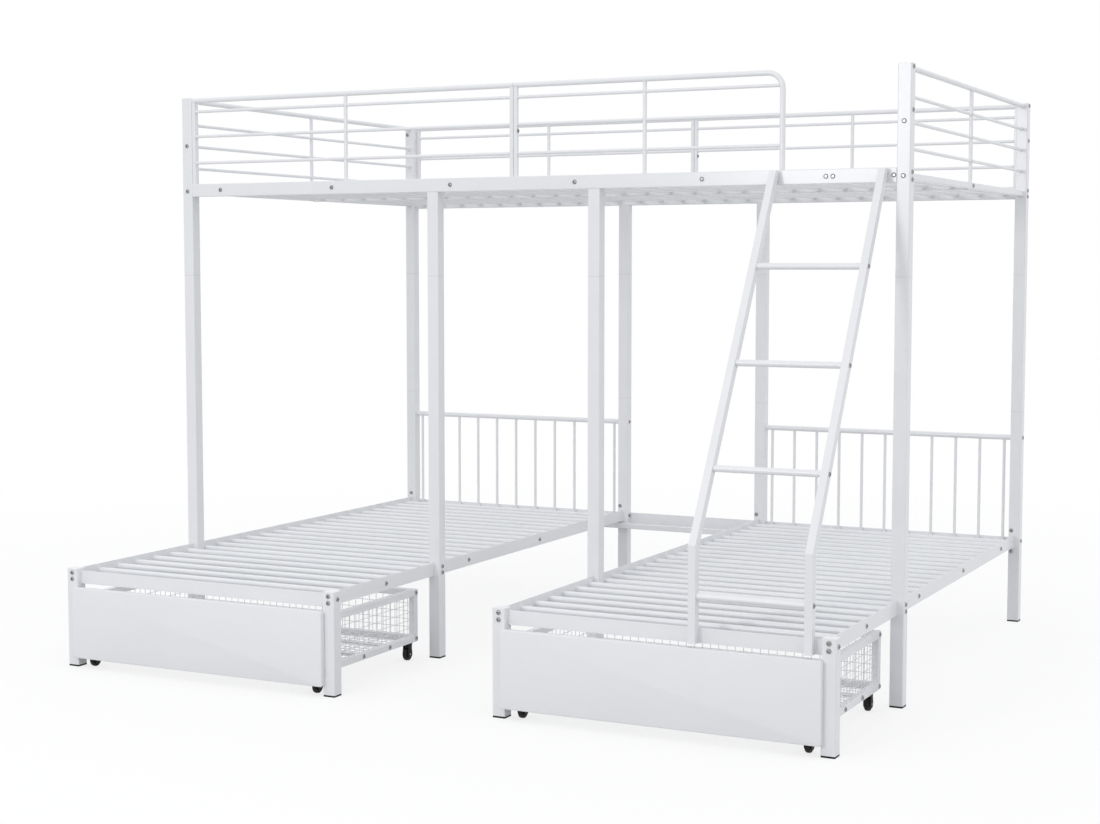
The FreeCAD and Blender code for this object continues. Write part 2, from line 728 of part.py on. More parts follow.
def caster_wheel(middle, row):
    """Wheel with rounded edges, bored for the axle."""
    start = (f"{middle}-wheel_width/2", row, "wheel_diameter/2")
    tyre = rod("x", start, "wheel_width", "wheel_diameter")
    bore = rod("x", start, "wheel_width", "axle_diameter+2*axle_play")
    return cut(rounded(tyre, ROD_RIMS, "wheel_edge"), bore)


def bolt(axis, start, outward):
    """Button head seated on a face and standing out along an axis."""
    along = "xyz".index(axis)
    seat = list(start)
    if outward < 0:
        seat[along] = f"{seat[along]}-bolt_head_height"
    return rod(axis, seat, "bolt_head_height", "bolt_head")


for side, middle in BED_MIDDLES.items():
    board = block((f"{middle}-board_width/2", "basket_front-board_thickness", "board_bottom"),
                  ("board_width", "board_thickness", "board_height"))
    node(f"{side}_drawer_front", [rounded(board, BOX_FRONT_EDGES, "board_edge")])
    basket_frame(f"{side}_drawer_basket_frame", middle)
    basket_mesh(f"{side}_drawer_mesh", middle)
    casters = {(depth, hand): (f"({middle}{sign}caster_spread)", row)
               for depth, row in (("front", "(basket_front+front_caster_inset)"),
                                  ("back", "(basket_front+basket_depth-back_caster_inset)"))
               for hand, sign in (("left", "-"), ("right", "+"))}
    node(f"{side}_drawer_caster_forks", [caster_fork(*spot) for spot in casters.values()])
    node(f"{side}_drawer_caster_axles", [caster_axle(*spot) for spot in casters.values()])
    for (depth, hand), spot in casters.items():
        node(f"{side}_drawer_{depth}_{hand}_wheel", [caster_wheel(*spot)])
    spots = [("basket_front+basket_depth-basket_tube/2", "basket_top-basket_tube/2"),
             ("basket_front+basket_depth-basket_tube/2", "basket_bottom+basket_tube/2")]
    spots += [(f"basket_front+{row}", "basket_bottom+basket_tube/2")
              for row in ("first_floor_bar", "second_floor_bar")]
    node(f"{side}_drawer_bolts", [bolt("x", (f"{middle}+{sign}*basket_width/2", row, height), sign)
                                  for sign in (-1, 1) for row, height in spots])

# Bolts of the frame
HALF_POST = "post_width/2"
RAIL_MIDDLE = "loft_rail_top-loft_rail_height/2"
END_RAIL_MIDDLE = "end_rail_bottom+end_rail_height/2"
FAR_BOLT = "(overall_length/2-far_bolt_margin)"
MIDDLE_BOLT = "(overall_length/2-middle_bolt_margin)"
LOFT_BOLTS = (f"-{FAR_BOLT}", f"-{MIDDLE_BOLT}", "-near_loft_bolt", "near_loft_bolt")
SIDE_RAIL_BOLTS = ("loft_front-rail_bolt_ahead", "loft_front+first_rail_bolt", "loft_front+second_rail_bolt",
                   "loft_front+third_rail_bolt")
bolts = []
for sign in (-1, 1):
    outer = f"{sign}*overall_length/2"
    post_middle = f"{sign}*(overall_length/2-{HALF_POST})"
    for row in LOFT_ROWS:
        for height in ("guard_top", "guard_middle_bar", f"{END_RAIL_MIDDLE}+post_bolt_step",
                       f"{END_RAIL_MIDDLE}-post_bolt_step"):
            bolts.append(bolt("x", (outer, f"{row}+{HALF_POST}", height), sign))
    for height in ("grille_middle_bar", END_RAIL_MIDDLE):
        bolts.append(bolt("y", (post_middle, "loft_front", height), -1))
        bolts.append(bolt("y", (post_middle, "back", height), 1))
    rail_face = f"{sign}*(overall_length/2-{HALF_POST}+end_rail_depth/2)"
    bolts.append(bolt("x", (rail_face, "loft_middle", END_RAIL_MIDDLE), sign))
GRILLE_BOLT = f"-(overall_length/2-{HALF_POST}+grille_bolt_shift)"
bolts.append(bolt("y", (GRILLE_BOLT, "back_row", "loft_rail_top+grille_bolt_rise"), -1))
for along in LOFT_BOLTS + ("ladder_left-entry_bolt_margin",):
    bolts.append(bolt("y", (along, "loft_front", RAIL_MIDDLE), -1))
for along in LOFT_BOLTS + (MIDDLE_BOLT, FAR_BOLT):
    bolts.append(bolt("y", (along, "back", RAIL_MIDDLE), 1))
JOINT_FACE = "guard_joint/2+upright/2"
for face, middle in ((f"front_joint+{JOINT_FACE}", FRONT_GUARD), (JOINT_FACE, BACK_GUARD)):
    bolts.append(bolt("x", (face, middle, "loft_rail_top+guard_bolt_rise"), 1))
for along in ("ladder_centre-ladder_bolt_step", "ladder_centre+ladder_bolt_step",
              f"{INNER_RIGHT}-bolt_head/2-touch_gap"):
    bolts.append(bolt("y", (along, "loft_front", RAIL_MIDDLE), -1))
for height in RUNGS:
    bolts.append(bolt("x", ("ladder_left-stile_width", rung_depth(height), height), -1))
    bolts.append(bolt("x", ("ladder_right+stile_width", rung_depth(height), height), 1))
for pair in BEDS.values():
    for sign, name in zip((-1, 1), pair):
        face = COLUMNS[name] if sign < 0 else f"({COLUMNS[name]}+post_width)"
        middle = f"{COLUMNS[name]}+{HALF_POST}"
        for height in ("leg_top-leg_bolt_drop", "leg_top-leg_bolt_drop-leg_bolt_step"):
            bolts.append(bolt("y", (middle, "leg_front", height), -1))
        side_height = "leg_top-leg_bolt_drop-leg_bolt_step/2"
        bolts.append(bolt("x", (face, f"leg_front+{HALF_POST}", side_height), sign))
        for height in ("bed_slat_height+leg_bolt_step/2", "bed_slat_height-leg_bolt_step/2"):
            bolts.append(bolt("x", (face, f"loft_front+{HALF_POST}", height), sign))
        lower_bolt = "bed_rail_bottom-head_bolt_clear" if name in BEDS else "bed_slat_height+inner_bolt_rise"
        head_bolt = middle if name == "left" else f"{middle}-head_bolt_shift"
        for height in ("bed_rail_top+head_bolt_clear", lower_bolt):
            bolts.append(bolt("y", (head_bolt, "back_row", height), -1))
        for height in ("headboard_top", "bed_slat_height"):
            bolts.append(bolt("x", (face, f"back_row+{HALF_POST}", height), sign))
        web_face = f"{face}-({sign})*rail_inset"
        for row in SIDE_RAIL_BOLTS:
            bolts.append(bolt("x", (web_face, row, "bed_slat_height"), sign))
node("frame_bolts", bolts)

# Check every object, then write one file for each piece
doc.recompute()
for item in doc.Objects:
    if "Invalid" in item.State or "Error" in item.State:
        raise RuntimeError(f"{item.Label} did not build: {item.State}")
os.makedirs("parts", exist_ok=True)
for item in nodes:
    if item.Shape.isNull() or not item.Shape.isValid():
        raise RuntimeError(f"{item.Label} has no valid shape")
    item.Shape.exportStep(f"parts/{item.Label}.step")
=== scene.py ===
"""White metal triple bunk bed, dressed: finishes for the steel, boards, plastic and bolts, and finer pieces
for the wire baskets, casters, bolts, welds and post joints. Metres, +Z up, +Y to the back."""
import json
import math

import bpy
import numpy as np
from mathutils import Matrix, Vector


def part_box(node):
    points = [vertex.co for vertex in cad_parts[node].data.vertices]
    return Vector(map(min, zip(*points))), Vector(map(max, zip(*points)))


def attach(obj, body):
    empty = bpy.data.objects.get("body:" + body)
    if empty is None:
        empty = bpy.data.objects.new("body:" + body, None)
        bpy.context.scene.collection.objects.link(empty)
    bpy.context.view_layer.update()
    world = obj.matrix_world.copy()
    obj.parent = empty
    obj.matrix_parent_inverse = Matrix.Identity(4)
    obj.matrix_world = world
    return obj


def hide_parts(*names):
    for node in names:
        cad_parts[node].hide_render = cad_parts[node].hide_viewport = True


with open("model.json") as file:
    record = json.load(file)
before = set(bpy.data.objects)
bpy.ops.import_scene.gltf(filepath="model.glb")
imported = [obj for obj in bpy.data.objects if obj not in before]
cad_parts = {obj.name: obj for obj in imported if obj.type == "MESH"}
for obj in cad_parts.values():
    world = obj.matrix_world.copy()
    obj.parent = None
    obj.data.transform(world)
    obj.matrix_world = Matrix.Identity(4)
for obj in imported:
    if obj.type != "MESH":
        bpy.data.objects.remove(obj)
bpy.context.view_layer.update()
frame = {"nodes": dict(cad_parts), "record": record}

MM = 0.001
X, Y, Z = np.eye(3)
SIDES = ("left", "right")
STEEP = 0.9


# Shapes worked out as arrays

def grid_faces(rows, columns, wrap_rows=False, wrap_columns=True):
    """Quads of a grid of points: (i, j) joins (i, j+1), (i+1, j+1) and (i+1, j), wrapped where asked."""
    i, j = np.meshgrid(np.arange(rows if wrap_rows else rows - 1),
                       np.arange(columns if wrap_columns else columns - 1), indexing="ij")
    i, j = i.ravel(), j.ravel()
    low, high = i * columns, (i + 1) % rows * columns
    return np.stack([low + j, low + (j + 1) % columns, high + (j + 1) % columns, high + j], axis=1)


def copies(points, faces, places, axes):
    """Many copies of one shape: a point is place + x*u + y*v + z*w, with the axes u, v, w given per copy."""
    placed = np.einsum("pk,ckd->cpd", points, axes) + places[:, None, :]
    shift = np.arange(len(places))[:, None, None] * len(points)
    return placed.reshape(-1, 3), [(face[None] + shift).reshape(-1, face.shape[1]) for face in faces]


def join(*shapes):
    """Several shapes as one: points set end to end, face numbers moved on by the points before them."""
    points, faces, count = [], [], 0
    for shape_points, shape_faces in shapes:
        points.append(shape_points)
        faces += [face + count for face in shape_faces]
        count += len(shape_points)
    return np.concatenate(points), faces


def piece(name, shape, body, finish, replaced=(), sharp=35):
    """Mesh object at the origin from an array of points and arrays of faces, riding on one body."""
    points, faces = shape
    mesh = bpy.data.meshes.new(name)
    mesh.from_pydata(points.tolist(), [], [corner for face in faces for corner in face.tolist()])
    mesh.shade_smooth()
    mesh.set_sharp_from_angle(angle=math.radians(sharp))
    mesh.materials.append(finish)
    thing = bpy.data.objects.new(name, mesh)
    bpy.context.scene.collection.objects.link(thing)
    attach(thing, body)
    if replaced:
        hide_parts(*replaced)


def rings(radii, heights, sides):
    """Turned shape: ring k has radius radii[k] (one number, or one for each side) at height heights[k]."""
    turn = np.arange(sides) * 2 * np.pi / sides
    radius = np.stack([np.broadcast_to(np.asarray(r, float), (sides,)) for r in radii])
    height = np.repeat(np.asarray(heights, float)[:, None], sides, axis=1)
    return np.stack([radius * np.cos(turn), radius * np.sin(turn), height], axis=2).reshape(-1, 3)


def wires(starts, ends, radius, sides=6):
    """Straight round wires: a circle of the radius, square to each line, at both its ends, with end faces."""
    starts, ends = np.asarray(starts, float), np.asarray(ends, float)
    along = ends - starts
    along /= np.linalg.norm(along, axis=1, keepdims=True)
    helper = np.where(np.abs(along[:, 2:]) > STEEP, X, Z)
    side = np.cross(helper, along)
    side /= np.linalg.norm(side, axis=1, keepdims=True)
    up = np.cross(along, side)
    turn = np.arange(sides) * 2 * np.pi / sides
    circle = (side[:, None] * np.cos(turn)[:, None] + up[:, None] * np.sin(turn)[:, None]) * radius
    points = np.stack([starts[:, None] + circle, ends[:, None] + circle], axis=1)
    first = np.arange(len(starts))[:, None, None] * 2 * sides
    walls = (grid_faces(2, sides)[None] + first).reshape(-1, 4)
    caps = np.stack([np.arange(sides)[::-1], np.arange(sides) + sides])
    return points.reshape(-1, 3), [walls, (caps[None] + first).reshape(-1, sides)]


def prism(outline, thickness):
    """Plate: an outline in the XY plane raised by its thickness, with both faces closed."""
    count = len(outline)
    flat = np.column_stack([outline, np.zeros(count)])
    points = np.concatenate([flat, flat + Z * thickness])
    caps = np.stack([np.arange(count)[::-1], np.arange(count) + count])
    return points, [grid_faces(2, count), caps]


def rounded_outline(width, height, corner, steps=5):
    """Rectangle about zero with round corners: quarter arcs of the corner radius about each inset corner."""
    turn = np.concatenate([np.linspace(0, np.pi / 2, steps) + k * np.pi / 2 for k in range(4)])
    sign = np.repeat([[1, 1], [-1, 1], [-1, -1], [1, -1]], steps, axis=0)
    middle = sign * (np.array([width, height]) / 2 - corner)
    return middle + corner * np.column_stack([np.cos(turn), np.sin(turn)])


def solids(node):
    """Lowest and highest corner of each separate solid of a node.

    Every corner starts with its own label, and the least label spreads over shared corners until steady."""
    thing = frame["nodes"][node]
    mesh = thing.data
    spots = np.empty(len(mesh.vertices) * 3)
    mesh.vertices.foreach_get("co", spots)
    corners = np.empty(len(mesh.loops), int)
    mesh.loops.foreach_get("vertex_index", corners)
    spots = spots.reshape(-1, 3)
    _, same = np.unique(np.round(spots, 5), axis=0, return_inverse=True)
    triangles = same.reshape(-1)[corners].reshape(-1, 3)
    label = np.arange(same.max() + 1)
    while True:
        least = label[triangles].min(axis=1)
        spread = label.copy()
        np.minimum.at(spread, triangles.ravel(), np.repeat(least, 3))
        if np.array_equal(spread, label):
            break
        label = spread
    _, group = np.unique(label[same.reshape(-1)], return_inverse=True)
    count = group.max() + 1
    low, high = np.full((count, 3), np.inf), np.full((count, 3), -np.inf)
    np.minimum.at(low, group, spots)
    np.maximum.at(high, group, spots)
    return low, high


# Finishes

COAT_GRAIN = 700.0
COAT_PATCHES = 6.0
NOISE_LOW, NOISE_HIGH = 0.3, 0.7


def noise(tree, vector, scale, detail, roughness=0.5):
    """Noise texture read at a vector."""
    texture = tree.nodes.new("ShaderNodeTexNoise")
    texture.inputs["Detail"].default_value = detail
    texture.inputs["Roughness"].default_value = roughness
    tree.links.new(vector, texture.inputs["Vector"])
    if isinstance(scale, float):
        texture.inputs["Scale"].default_value = scale
    else:
        tree.links.new(scale, texture.inputs["Scale"])
    return texture.outputs["Fac"]


def span(tree, value, low, high, start, end):
    """Value stretched from one range to another and kept inside it."""
    remap = tree.nodes.new("ShaderNodeMapRange")
    for label, number in (("From Min", low), ("From Max", high), ("To Min", start), ("To Max", end)):
        remap.inputs[label].default_value = number
    tree.links.new(value, remap.inputs["Value"])
    return remap.outputs["Result"]


def grain_group():
    """Fine grain for coated and moulded surfaces: noise as pebbles and as slow patches."""
    group = bpy.data.node_groups.new("surface_grain", "ShaderNodeTree")
    for label, value in (("Grain per metre", COAT_GRAIN), ("Patches per metre", COAT_PATCHES)):
        socket = group.interface.new_socket(label, in_out="INPUT", socket_type="NodeSocketFloat")
        socket.default_value = value
    for label in ("Pebbles", "Patches"):
        group.interface.new_socket(label, in_out="OUTPUT", socket_type="NodeSocketFloat")
    given = group.nodes.new("NodeGroupInput")
    out = group.nodes.new("NodeGroupOutput")
    where = group.nodes.new("ShaderNodeTexCoord").outputs["Object"]
    group.links.new(noise(group, where, given.outputs["Grain per metre"], 3.0), out.inputs["Pebbles"])
    group.links.new(noise(group, where, given.outputs["Patches per metre"], 4.0, 0.6), out.inputs["Patches"])
    return group


GRAIN = grain_group()


def blend_colours(tree, mask, first, second):
    """Colour that goes from the first to the second as the mask goes from nought to one."""
    mix = tree.nodes.new("ShaderNodeMix")
    mix.data_type = "RGBA"
    tree.links.new(mask, mix.inputs["Factor"])
    mix.inputs["A"].default_value = (*first, 1)
    mix.inputs["B"].default_value = (*second, 1)
    return mix.outputs["Result"]


def finish(name, light, dark, roughness, bump, depth, grain=COAT_GRAIN, patches=COAT_PATCHES, metallic=0.0,
           gloss=0.5, along=None):
    """Material whose colour and gloss drift in patches, with a fine grain raised by a bump.

    The colour runs between two shades, the roughness over its given range, and the grain's height is the
    depth in metres. Where along is given, the grain is drawn out along that axis like brushing or fibre."""
    material = bpy.data.materials.new(name)
    material.use_nodes = True
    tree = material.node_tree
    shader = tree.nodes["Principled BSDF"]
    shader.inputs["Metallic"].default_value = metallic
    shader.inputs["Specular IOR Level"].default_value = gloss
    surface = tree.nodes.new("ShaderNodeGroup")
    surface.node_tree = GRAIN
    surface.inputs["Grain per metre"].default_value = grain
    surface.inputs["Patches per metre"].default_value = patches
    patch = span(tree, surface.outputs["Patches"], NOISE_LOW, NOISE_HIGH, 0.0, 1.0)
    tree.links.new(blend_colours(tree, patch, light, dark), shader.inputs["Base Color"])
    height = surface.outputs["Pebbles"]
    tree.links.new(span(tree, height, NOISE_LOW, NOISE_HIGH, *roughness), shader.inputs["Roughness"])
    if along is not None:
        where = tree.nodes.new("ShaderNodeTexCoord").outputs["Object"]
        stretch = tree.nodes.new("ShaderNodeMapping")
        stretch.inputs["Scale"].default_value = along
        tree.links.new(where, stretch.inputs["Vector"])
        height = noise(tree, stretch.outputs["Vector"], grain, 4.0, 0.6)
    relief = tree.nodes.new("ShaderNodeBump")
    relief.inputs["Strength"].default_value = bump
    relief.inputs["Distance"].default_value = depth
    tree.links.new(height, relief.inputs["Height"])
    tree.links.new(relief.outputs["Normal"], shader.inputs["Normal"])
    return material


powder_coat = finish("white_powder_coat", (0.850, 0.856, 0.872), (0.825, 0.832, 0.850), (0.16, 0.27),
                     0.30, 0.10 * MM)
drawer_paint = finish("white_drawer_paint", (0.850, 0.855, 0.868), (0.830, 0.836, 0.850), (0.42, 0.55),
                      0.25, 0.10 * MM, grain=260.0, patches=4.0, along=(0.12, 1.0, 1.0))
black_moulding = finish("black_moulding", (0.008, 0.008, 0.009), (0.016, 0.016, 0.017), (0.40, 0.60),
                        0.5, 0.10 * MM, grain=1500.0, patches=60.0, gloss=0.2)
wheel_nylon = finish("wheel_nylon", (0.008, 0.008, 0.009), (0.020, 0.020, 0.019), (0.38, 0.60),
                     0.4, 0.08 * MM, grain=900.0, patches=110.0, gloss=0.2)
bolt_plating = finish("bolt_plating", (0.36, 0.36, 0.37), (0.26, 0.26, 0.27), (0.14, 0.26), 0.4, 0.05 * MM,
                      grain=2200.0, patches=180.0, metallic=1.0)
bare_steel = finish("bare_steel", (0.56, 0.56, 0.57), (0.46, 0.46, 0.47), (0.30, 0.48), 0.4, 0.05 * MM,
                    grain=1400.0, patches=60.0, metallic=1.0)
# Dark grey for the post joint rings: painted shade of the seam where two lengths of white post meet
joint_shadow = finish("joint_painted_shade", (0.60, 0.60, 0.62), (0.52, 0.52, 0.54), (0.6, 0.75), 0.3, 0.05 * MM,
                      grain=900.0)

FINISHES = {"white_steel": powder_coat, "white_board": drawer_paint, "black_plastic": black_moulding,
            "bolt_steel": bolt_plating, "bare_steel": bare_steel, "wheel_plastic": wheel_nylon}
for part in frame["record"]["subparts"]:
    for holder in frame["nodes"][part["node"]].material_slots:
        holder.material = FINISHES[part["material_slot"]]

# Bolts: button heads with a hexagon socket

HEAD_SIDES = 12
BOLT_REACH = 3.0 * MM
SOCKET = 2.7 * MM
HEAD_RADII = np.array([7.0, 6.8, 5.8, 4.2]) * MM
HEAD_HEIGHTS = np.array([0.0, 0.9, 2.2, 3.0]) * MM
SOCKET_HEIGHTS = np.array([2.9, 0.3]) * MM
turn = np.arange(HEAD_SIDES) * 2 * np.pi / HEAD_SIDES
hexagon = SOCKET / np.cos((turn + np.pi / 6) % (np.pi / 3) - np.pi / 6)
bolt_points = rings([*HEAD_RADII, hexagon, hexagon], [*HEAD_HEIGHTS, *SOCKET_HEIGHTS], HEAD_SIDES)
bolt_rings = len(HEAD_HEIGHTS) + len(SOCKET_HEIGHTS)
socket_floor = np.arange(HEAD_SIDES) + (bolt_rings - 1) * HEAD_SIDES
bolt_faces = [grid_faces(bolt_rings, HEAD_SIDES), socket_floor[None]]
BED_EDGES = (-0.5, 0.1, 0.9)
EDGE_FACING = np.array([-1.0, 1.0, -1.0, 1.0])


def bolts(node, outward):
    """One button head on the seat of each bolt: the seat is the middle of the solid's inner flat face."""
    low, high = solids(node)
    middle = (low + high) / 2
    across = np.argmin(high - low, axis=1)
    sign = outward(middle, across)
    normal = np.eye(3)[across] * sign[:, None]
    seat = middle - normal * BOLT_REACH / 2
    helper = np.where(across[:, None] == 2, X, Z)
    side = np.cross(helper, normal)
    axes = np.stack([side, np.cross(normal, side), normal], axis=1)
    return copies(bolt_points, bolt_faces, seat, axes)


def frame_outward(middle, across):
    """Frame bolts stand out from the beds sideways, and to the front or the back of the bed."""
    sideways = EDGE_FACING[np.searchsorted(BED_EDGES, middle[:, 0])]
    lengthways = np.where(middle[:, 1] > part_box("loft_back_rail")[1][1] - 1 * MM, 1.0, -1.0)
    return np.where(across == 0, sideways, lengthways)


piece("frame_button_bolts", bolts("frame_bolts", frame_outward), "bed_frame", bolt_plating,
      ["frame_bolts"])
for side in SIDES:
    low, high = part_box(f"{side}_drawer_basket_frame")
    centre = (low[0] + high[0]) / 2
    piece(f"{side}_drawer_button_bolts",
          bolts(f"{side}_drawer_bolts", lambda middle, across: np.sign(middle[:, 0] - centre)),
          f"{side}_drawer", bolt_plating, [f"{side}_drawer_bolts"])

# Baskets: welded wire nets in the frame's floor and walls

WIRE = 1.0 * MM
MESH_STEP = 25 * MM
FLOOR_STEP = 28 * MM


def net(origin, across, up, width, height, inward, step=MESH_STEP):
    """Two layers of straight wires: uprights at even steps across the width, levels at even steps up."""
    origin, across, up, inward = (np.asarray(v, float) for v in (origin, across, up, inward))
    columns = np.linspace(0, width, round(width / step) + 1)[1:-1]
    levels = np.linspace(0, height, max(2, round(height / step)) + 1)[1:-1]
    behind = origin + inward * WIRE
    before = origin - inward * WIRE
    starts = np.concatenate([before + columns[:, None] * across, behind + levels[:, None] * up])
    ends = np.concatenate([before + columns[:, None] * across + height * up,
                           behind + levels[:, None] * up + width * across])
    return wires(starts, ends, WIRE)


TUBE = 20 * MM
for side in SIDES:
    low, high = (np.array(corner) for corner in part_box(f"{side}_drawer_basket_frame"))
    floor_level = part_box(f"{side}_drawer_mesh")[0][2] + WIRE
    inner_low, inner_high = low + TUBE, high - TUBE
    width, depth, height = inner_high - inner_low
    middle_low, middle_high = low + TUBE / 2, high - TUBE / 2
    nets = [
        net((inner_low[0], inner_low[1], floor_level), X, Y, width, depth, Z, FLOOR_STEP),
        net((inner_low[0], middle_low[1], inner_low[2]), X, Z, width, height, Y),
        net((inner_low[0], middle_high[1], inner_low[2]), X, Z, width, height, -Y),
        net((middle_low[0], inner_low[1], inner_low[2]), Y, Z, depth, height, X),
        net((middle_high[0], inner_low[1], inner_low[2]), Y, Z, depth, height, -X),
    ]
    piece(f"{side}_drawer_wire_nets", join(*nets), f"{side}_drawer", powder_coat,
          [f"{side}_drawer_mesh"])

# Drawer fronts: boards with round corners and eased edges

BOARD_CORNER = 7 * MM
BOARD_EASE = 2.5 * MM
BACK_EASE = 0.4 * MM
for side in SIDES:
    low, high = (np.array(corner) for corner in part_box(f"{side}_drawer_front"))
    width, depth, height = high - low
    middle = (low + high) / 2
    ease = np.linspace(0, np.pi / 2, 4)
    insets = np.concatenate([BOARD_EASE * (1 - np.sin(ease)), [0.0, BACK_EASE]])
    depths = np.concatenate([BOARD_EASE * (1 - np.cos(ease)), [depth - BACK_EASE, depth]])
    outlines = [rounded_outline(width - 2 * inset, height - 2 * inset, BOARD_CORNER - inset)
                for inset in insets]
    loops = np.stack([np.insert(outline, 1, at, axis=1) for outline, at in zip(outlines, depths)])
    board = loops.reshape(-1, 3) + np.array([middle[0], low[1], middle[2]])
    rows, count = loops.shape[:2]
    caps = np.stack([np.arange(count), np.arange(count)[::-1] + (rows - 1) * count])
    piece(f"{side}_drawer_board", (board, [grid_faces(rows, count)[:, ::-1], caps]), f"{side}_drawer",
          drawer_paint, [f"{side}_drawer_front"], sharp=50)

# Casters: wheels with a crowned tread and a hub, forks with rounded cheeks

WHEEL_SIDES = 40
HALF_WHEEL = np.array([  # radius and distance from the wheel's middle, mm, from the bore to the tread
    (3.05, 7.0), (6.5, 7.0), (7.4, 6.4), (8.0, 5.2), (14.5, 5.2), (15.4, 6.2), (16.6, 6.9), (18.2, 6.6),
    (19.4, 5.2), (19.9, 3.0), (20.0, 0.0)]) * MM
wheel_profile = np.concatenate([HALF_WHEEL * (1, -1), HALF_WHEEL[-2::-1]])
wheel_points = rings(wheel_profile[:, 0], wheel_profile[:, 1], WHEEL_SIDES)
wheel_faces = [grid_faces(len(wheel_profile), WHEEL_SIDES, wrap_rows=True)]
WHEEL_AXES = np.stack([Y, Z, X])[None]
CHEEK = 3.0 * MM
CHEEK_GAP = 7.6 * MM
CHEEK_ROUND = 12.0 * MM
CHEEK_EDGE = np.array([(11.4, 7.0), (9.4, 16.0), (9.0, 22.0), (10.6, 30.0), (15.5, 37.0)]) * MM
CHEEK_STEPS = 13
PLATE_WIDTH, PLATE_LENGTH, PLATE_HEIGHT = 22 * MM, 32 * MM, 3 * MM
PLATE_CORNER = 4 * MM
PLATE_RISE = 37 * MM
CROWN_WIDTH, CROWN_LENGTH, CROWN_HEIGHT = 15.2 * MM, 18 * MM, 14.5 * MM
CROWN_CORNER = 3 * MM
CROWN_RISE = 22.5 * MM
lower = np.linspace(np.pi, 2 * np.pi, CHEEK_STEPS)
cheek_outline = np.concatenate([CHEEK_ROUND * np.column_stack([np.cos(lower), np.sin(lower)]), CHEEK_EDGE,
                                CHEEK_EDGE[::-1] * (-1, 1)])
cheek = prism(cheek_outline, CHEEK)
plate = prism(rounded_outline(PLATE_WIDTH, PLATE_LENGTH, PLATE_CORNER), PLATE_HEIGHT)
crown = prism(rounded_outline(CROWN_WIDTH, CROWN_LENGTH, CROWN_CORNER), CROWN_HEIGHT)
FLAT_AXES = np.stack([X, Y, Z])[None]
for side in SIDES:
    forks = []
    for depth in ("front", "back"):
        for hand in SIDES:
            wheel = f"{side}_drawer_{depth}_{hand}_wheel"
            low, high = (np.array(corner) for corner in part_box(wheel))
            hub = (low + high)[None] / 2
            piece(f"{wheel}_turned", copies(wheel_points, wheel_faces, hub, WHEEL_AXES), wheel, wheel_nylon,
                  [wheel])
            for start in (-CHEEK_GAP - CHEEK, CHEEK_GAP):
                forks.append(copies(*cheek, hub + X * start, WHEEL_AXES))
            forks.append(copies(*plate, hub + Z * PLATE_RISE, FLAT_AXES))
            forks.append(copies(*crown, hub + Z * CROWN_RISE, FLAT_AXES))
    piece(f"{side}_drawer_caster_housings", join(*forks), f"{side}_drawer", black_moulding,
          [f"{side}_drawer_caster_forks"])

# Welds: small beads round the ends of bars, spindles and slats

BEAD_SIDES = 12
BEAD_STEPS = 5
BEAD = 1.3 * MM
BEAD_OUT = 0.45
BAR = 5 * MM
UPRIGHT = 6 * MM
SLAT = 9 * MM
NEAR = 0.5 * MM
SHORTEST_BAR = 30 * MM
END_CLEAR = 30 * MM


def beads(places, directions, radius):
    """Rings of weld: a bead of circular section carried round a circle of the bar's radius at each place."""
    places, directions = np.asarray(places, float), np.asarray(directions, float)
    turn, step = np.meshgrid(np.arange(BEAD_SIDES) * 2 * np.pi / BEAD_SIDES,
                             np.arange(BEAD_STEPS) * 2 * np.pi / BEAD_STEPS, indexing="ij")
    reach = radius + BEAD * (BEAD_OUT + np.cos(step))
    points = np.stack([reach * np.cos(turn), reach * np.sin(turn), BEAD * np.sin(step)], axis=2)
    faces = [grid_faces(BEAD_SIDES, BEAD_STEPS, wrap_rows=True)]
    helper = np.where(np.abs(directions[:, 2:]) > STEEP, X, Z)
    side = np.cross(helper, directions)
    axes = np.stack([side, np.cross(directions, side), directions], axis=1)
    return copies(points.reshape(-1, 3), faces, places, axes)


def bar_ends(node, radius, axis):
    """Both ends of the round bars of a node that run along one axis and have about the given radius."""
    low, high = solids(node)
    extent = high - low
    others = [k for k in range(3) if k != axis]
    fits = (np.abs(extent[:, others] / 2 - radius) < NEAR).all(axis=1)
    chosen = fits & (extent[:, axis] > SHORTEST_BAR)
    middle = (low + high)[chosen] / 2
    first, last = middle.copy(), middle.copy()
    first[:, axis], last[:, axis] = low[chosen][:, axis], high[chosen][:, axis]
    return np.concatenate([first, last])


def weld(name, places, axis, radius):
    """Beads at a set of bar ends, as one piece of the frame."""
    directions = np.tile(np.eye(3)[axis], (len(places), 1))
    piece(name, beads(places, directions, radius), "bed_frame", powder_coat, sharp=80)


for guard in ("front_left_guard", "front_right_guard", "back_left_guard", "back_right_guard"):
    weld(f"{guard}_bar_welds", bar_ends(guard, BAR, 0), 0, BAR)
    stands = bar_ends(guard, UPRIGHT, 2)
    low, high = (corner[0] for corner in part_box(guard))
    inside = (stands[:, 0] > low + END_CLEAR) & (stands[:, 0] < high - END_CLEAR)
    weld(f"{guard}_upright_welds", stands[inside], 2, UPRIGHT)
for grille in ("left_end_grille", "right_end_grille"):
    weld(f"{grille}_bar_welds", bar_ends(grille, BAR, 1), 1, BAR)
for board in ("left_headboard_grille", "right_headboard_grille"):
    weld(f"{board}_spindle_welds", bar_ends(board, BAR, 2), 2, BAR)
weld("loft_slat_welds", bar_ends("loft_slats", SLAT, 1), 1, SLAT)
for bed in ("left_bed_slats", "right_bed_slats"):
    weld(f"{bed}_welds", bar_ends(bed, SLAT, 0), 0, SLAT)
weld("ladder_rung_welds", bar_ends("ladder_rungs", SLAT, 0), 0, SLAT)
